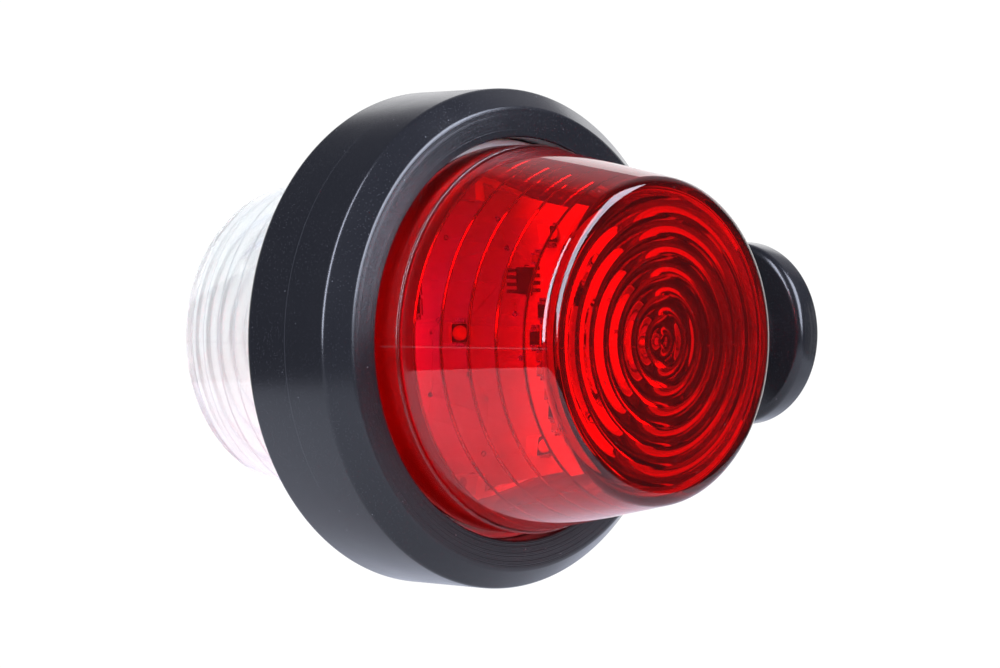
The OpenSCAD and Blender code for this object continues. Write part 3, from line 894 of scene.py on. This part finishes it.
CHIP_X, CHIP_Y = 1.95, 2.45   # half its width and half its length
LEG_PITCH = 1.27
LEG_PATH = [(1.85, 0.8), (2.22, 0.8), (2.36, 0.74), (2.52, 0.2), (2.62, 0.13), (3.05, 0.13)]
chip_at = on_board(CHIP, NEAR)
chip = Piece("driver_chip_package", "moulded_black", "driver_chip")
chip.block(chip_at, (-CHIP_X, -CHIP_Y, 0.74), (CHIP_X, CHIP_Y, 1.5), 0.04, 0.14)
chip.block(turned_about(chip_at, (0, 0, 0.89), "X", 180), (-CHIP_X, -CHIP_Y, 0), (CHIP_X, CHIP_Y, 0.74),
           0.04, 0.12)
chip_top = rectangle(CHIP_X - 0.17, CHIP_Y - 0.17, 0.05, 2)
chip.plate(chip_at, [chip_top, circle(-1.2, 1.7, 0.36)], 1.48, 1.6, 0.03)
chip.finish()
legs = Piece("driver_chip_legs", "tinned_leads", "driver_chip_leads", mat=SHADED_LEADS)
for s in (-1, 1):
    for i in range(4):
        leg = turned_about(chip_at, (0, (i - 1.5) * LEG_PITCH, 0), "Z", 0 if s > 0 else 180)
        legs.strip(leg, LEG_PATH, 0.42, 0.2)
        # Dark finger under the leg, longer on the side of the ring, in the legs' painted shade
        legs.block(leg, (2.0, -0.31, 0.03), (5.6 if s < 0 else 3.5, 0.31, 0.1), 0.02)
legs.finish()
printed_frame(chip_at, 3.2, 5.6, 0.9)

# Chip resistors and capacitors

resistor_cores = Piece("resistor_cores", "moulded_black", "resistors")
capacitor_cores = Piece("capacitor_cores", "capacitor_tan", "ceramic_capacitors")
caps = Piece("chip_end_caps", "tinned_leads")


def end_caps(matrix, half_width, inner, outer, top, bevel):
    """Metal caps that reach from inner to outer at both ends of a part."""
    for s in (-1, 1):
        low, high = sorted((s * inner, s * outer))
        caps.block(matrix, (-half_width, low, 0.02), (half_width, high, top), bevel)


for spot, face in RESISTORS:
    at = on_board(spot, face)
    resistor_cores.block(at, (-0.79, -1.45, 0.04), (0.79, 1.45, 0.52), 0.03)
    resistor_cores.block(at, (-0.74, -1.12, 0.5), (0.74, 1.12, 0.6), 0.04)
    end_caps(at, 0.8, 1.12, 1.6, 0.58, 0.07)
    two_end_pads(at, 1.6, 3.2, 0.5)
    printed_frame(at, 2.5, 3.0)
for spot, face in CAPACITORS:
    at = on_board(spot, face)
    capacitor_cores.block(at, (-0.62, -0.75, 0.03), (0.62, 0.75, 0.97), 0.06)
    end_caps(at, 0.65, 0.62, 1.0, 1.0, 0.09)
    two_end_pads(at, 1.3, 2.0, 0.7)
for piece in (resistor_cores, capacitor_cores, caps):
    piece.finish()

# Supply parts on the far face

at = on_board(CAN, FAR)
can = Piece("smoothing_can", "can_aluminium", "smoothing_capacitor")
can.turned(at, [(0, 1.1), (3.75, 1.1), (3.95, 1.35, 0.15), (3.95, 1.75, 0.15), (3.72, 2.0, 0.15),
                (3.95, 2.3, 0.15), (4.0, 2.5, 0.2), (4.0, 7.1, 0.35), (3.3, 7.4, 0.3), (3.1, 7.28, 0.2),
                (0, 7.28)], 64, 4)
can.finish()
base = Piece("smoothing_can_base", "moulded_black")
base.plate(at, [outline([(-4.15, -4.15, 0.3), (2.6, -4.15, 0.3), (4.15, -2.6, 0.3), (4.15, 2.6, 0.3),
                         (2.6, 4.15, 0.3), (-4.15, 4.15, 0.3)], 3)], 0.05, 1.2, 0.1)
stripe = [(3.05 * math.cos(a), 3.05 * math.sin(a))
          for a in (math.radians(115 + 130 * i / 20) for i in range(21))]
base.plate(at, [stripe], 7.27, 7.31)
base.finish()
for s in (-1, 1):
    pad(at, s * 3.6, 0, 3.2, 1.6)

at = on_board(INDUCTOR, FAR)
shield = Piece("inductor_shield", "ferrite_grey", "power_inductor")
shield.plate(at, [rectangle(3.5, 3.5, 1.1, 5), circle(0, 0, 2.85, 48)], 0.5, 3.6, 0.12)
shield.turned(at, [(0, 0.1), (3.0, 0.1), (3.0, 0.7, 0.1), (1.6, 0.7), (1.6, 2.9), (2.6, 2.9, 0.1),
                   (2.6, 3.5, 0.15), (0, 3.5)], 48)
shield.finish()
winding = Piece("inductor_winding", "insert_brass", mat=COPPER)
for k in range(8):
    z = 0.86 + 0.27 * k
    winding.turned(at, [(2.2, z - 0.12, 0.1), (2.46, z - 0.12, 0.1), (2.46, z + 0.12, 0.1),
                        (2.2, z + 0.12, 0.1)], 40, 3)
winding.finish()
for s in (-1, 1):
    pad(at, 0, s * 3.2, 2.6, 1.8)

packages = Piece("diode_packages", "moulded_black", "input_rectifier", "surge_suppressor")
package_leads = Piece("diode_leads", "tinned_leads")
# The rectifier has two leads at each side, pitch apart, and the suppressor has one at each end
for spot, size, pitch in ((RECTIFIER, Vector((5, 6.4, 2.4)), 2.5), (SUPPRESSOR, Vector((3.6, 4.6, 2.3)), 0)):
    at = on_board(spot, FAR)
    half = size / 2
    inset = Vector((0.65, 0)) if pitch else Vector((0, 0.3))
    x, y = half.x - inset.x, half.y - inset.y
    packages.block(at, (-x, -y, half.z), (x, y, size.z), 0.05, 0.18)
    packages.block(turned_about(at, (0, 0, half.z + 0.14), "X", 180), (-x, -y, 0), (x, y, half.z), 0.05, 0.15)
    for s in (-1, 1):
        for row in ((-pitch / 2, pitch / 2) if pitch else (0,)):
            lead = turned_about(at, (0, 0, 0), "Z", (0 if s > 0 else 180) if pitch else 90 * s)
            lead = lead @ Matrix.Translation((0, row, 0))
            edge = half.x if pitch else half.y
            width = 0.7 if pitch else 2.1
            package_leads.strip(lead, [(edge - 0.7, half.z + 0.05), (edge - 0.22, half.z + 0.05),
                                       (edge - 0.1, half.z - 0.1), (edge - 0.1, 0.25), (edge - 0.25, 0.12),
                                       (edge - 0.7, 0.12)], width, 0.18)
            pad(lead, edge, 0, 1.6, width + 0.3)
            pads.fillet(lead @ Matrix.Translation((edge, 0, MASK_T)), width, 0.5, 0.8)
    printed_frame(at, size.x + 0.6 if not pitch else size.y * 0.5, size.y * 0.6)
packages.finish()
package_leads.finish()
band = Piece("diode_band", "board_white")
band.block(on_board(SUPPRESSOR, FAR), (-1.6, 1.2, 2.28), (1.6, 1.7, 2.32), 0)
band.finish()
pads.finish()
marks.finish()

# Threaded inserts and grommet

THREAD_PITCH = 0.8
insert = Piece("insert_sleeves", "insert_brass", "threaded_inserts")
for s in (-1, 1):
    here = FOOT @ Matrix.Translation((-s * INSERT_Z, 0, 0))
    thread = []
    for k in range(8):
        z = -0.9 - THREAD_PITCH * k
        thread += [(2.42, z), (2.42, z - 0.1), (2.1, z - 0.36), (2.1, z - 0.46)]
    sleeve = [(2.45, -INSERT_LEN), (INSERT_R, -INSERT_LEN, 0.2), (INSERT_R, -0.5, 0.1),
              (INSERT_R - 0.15, -0.02, 0.1), (2.75, -0.02), (2.2, -0.5)]
    insert.turned(here, sleeve + thread, 48, 2)
insert.finish()

grommet = Piece("cable_grommet_sleeve", "black_rubber", "cable_grommet")
ribs = [(2.9 if k % 2 else 2.62, -1.8 - 0.9 * k, 0.15) for k in range(11)]
neck_of_grommet = [(2.62, -GROMMET_LEN), (GROMMET_R - FIT, -GROMMET_LEN, 0.4),
                   (GROMMET_R - FIT, -GROMMET_HEAD - FIT)]
head = [(GROMMET_HEAD_R - FIT, -GROMMET_HEAD - FIT), (GROMMET_HEAD_R - FIT, -0.2, 0.4), (3.1, -0.2, 0.4),
        (2.62, -1.2, 0.3)]
grommet.turned(FOOT, neck_of_grommet + head + ribs, 64, 3)
grommet.finish()

# Stage, light and camera


def area_light(name, place, aim, width, height, radiance, colour):
    """Rectangular light that faces aim and is not seen by the camera."""
    data = bpy.data.lights.new(name, "AREA")
    data.energy = radiance * math.pi * width * height
    data.color = colour
    data.shape = "RECTANGLE"
    data.size = width
    data.size_y = height
    lamp = bpy.data.objects.new(name, data)
    lamp.location = place
    lamp.rotation_euler = (Vector(aim) - Vector(place)).to_track_quat("-Z", "Y").to_euler()
    lamp.visible_camera = False
    bpy.context.scene.collection.objects.link(lamp)
    return lamp


FLOOR_Z = -0.11
FLOOR_R = 0.42
COOL = (0.86, 0.92, 1.12)


floor_bm = bmesh.new()
bmesh.ops.create_circle(floor_bm, cap_ends=True, radius=FLOOR_R, segments=128)
floor_mesh = bpy.data.meshes.new("floor")
floor_bm.to_mesh(floor_mesh)
floor_bm.free()
floor = bpy.data.objects.new("floor", floor_mesh)
floor.location = (LAMP_X, 0, FLOOR_Z)
# The floor glows softly, with painted shadow under the lamp and painted shade in front of it
floor_white = new_material("floor_white", Base_Color=(0.35, 0.35, 0.35), Roughness=0.9, Emission_Color=COOL)
from_lamp = object_coordinates(floor_white)
under = between(floor_white, vector_math(floor_white, "LENGTH", from_lamp), 0.03, 0.12, 0.16, 0.5)
along = vector_math(floor_white, "DOT_PRODUCT", from_lamp, ALONG)
in_front = between(floor_white, along, -0.09, 0.0, 0.5, 1.0)
link(floor_white, product(floor_white, under, in_front), shader_of(floor_white).inputs["Emission Strength"])
floor_mesh.materials.append(floor_white)
bpy.context.scene.collection.objects.link(floor)


def panel(name, bearing, distance, width, height, low, radiance, colour=(1, 1, 1)):
    """Upright softbox that faces the lamp, with its lower edge at low.

    bearing is in degrees from -X round towards -Y.
    """
    turn = math.radians(bearing)
    place = CENTRE + Vector((-math.cos(turn), -math.sin(turn), 0)) * distance
    place.z = low + height / 2
    area_light(name, place, (LAMP_X, 0, place.z), width, height, radiance, colour)


def strip(name, start, end, distance, width, radiance, colour):
    """Long softbox that spans the directions from start to end, as seen from the lamp."""
    start, end = Vector(start).normalized(), Vector(end).normalized()
    middle = (start + end).normalized()
    length = 2 * distance * math.tan(start.angle(end) / 2)
    light = area_light(name, CENTRE + middle * distance, CENTRE, length, width, radiance, colour)
    along = (end - start).normalized()
    light.rotation_euler = Matrix((along, middle.cross(along), middle)).transposed().to_euler()


panel("backdrop", 225.6, 0.7, 2.0, 0.65, -0.2, 1.15)
panel("left_softbox", 2.0, 0.75, 0.25, 1.6, 0.0, 15.0, COOL)
strip("front_softbox", (-0.18, -0.98, 0.1), (0.43, -0.39, 0.81), 0.7, 0.34, 11.5, COOL)

# Camera rays see plain white. All others see a dark studio with a paler side
world = bpy.data.worlds.new("studio")
world.use_nodes = True
bpy.context.scene.world = world
studio = world.node_tree.nodes["Background"]
heading = node(world, "ShaderNodeTexCoord").outputs["Generated"]
towards_pale = vector_math(world, "DOT_PRODUCT", heading, (0.72, 0.35, 0.6))
link(world, ramp(world, towards_pale, [(0.84, (0.07, 0.072, 0.088)), (0.95, (0.45, 0.45, 0.5))]),
     studio.inputs["Color"])
white = node(world, "ShaderNodeBackground", Color=(1, 1, 1, 1), Strength=1.05)
to_camera = node(world, "ShaderNodeLightPath").outputs["Is Camera Ray"]
link(world, mixed_shader(world, to_camera, studio.outputs["Background"], white.outputs["Background"]),
     world.node_tree.nodes["World Output"].inputs["Surface"])

# Camera fitted to the photo. It looks at the lamp's centre, which is shifted in the picture
AZIMUTH = math.radians(-44.87)
ELEVATION = math.radians(0.96)
DISTANCE = 0.5695
FOCAL = 3353.0                # focal length in thousandths of the frame's width
SENSOR = 36
SHIFT_RIGHT, SHIFT_UP = -0.00496, -0.00067

back = Vector((math.sin(AZIMUTH) * math.cos(ELEVATION), -math.cos(AZIMUTH) * math.cos(ELEVATION),
               math.sin(ELEVATION)))
right = Vector((math.cos(AZIMUTH), math.sin(AZIMUTH), 0))
up = back.cross(right)

camera_data = bpy.data.cameras.new("camera")
camera_data.sensor_width = SENSOR
camera_data.lens = FOCAL / 1000 * SENSOR
camera_data.clip_start = 0.01
camera = bpy.data.objects.new("camera", camera_data)
place = CENTRE + back * DISTANCE - right * SHIFT_RIGHT - up * SHIFT_UP
camera.matrix_world = Matrix.Translation(place) @ Matrix((right, up, back)).transposed().to_4x4()
bpy.context.scene.collection.objects.link(camera)
bpy.context.scene.camera = camera
bpy.context.scene.view_settings.view_transform = "Standard"

bpy.context.view_layer.update()
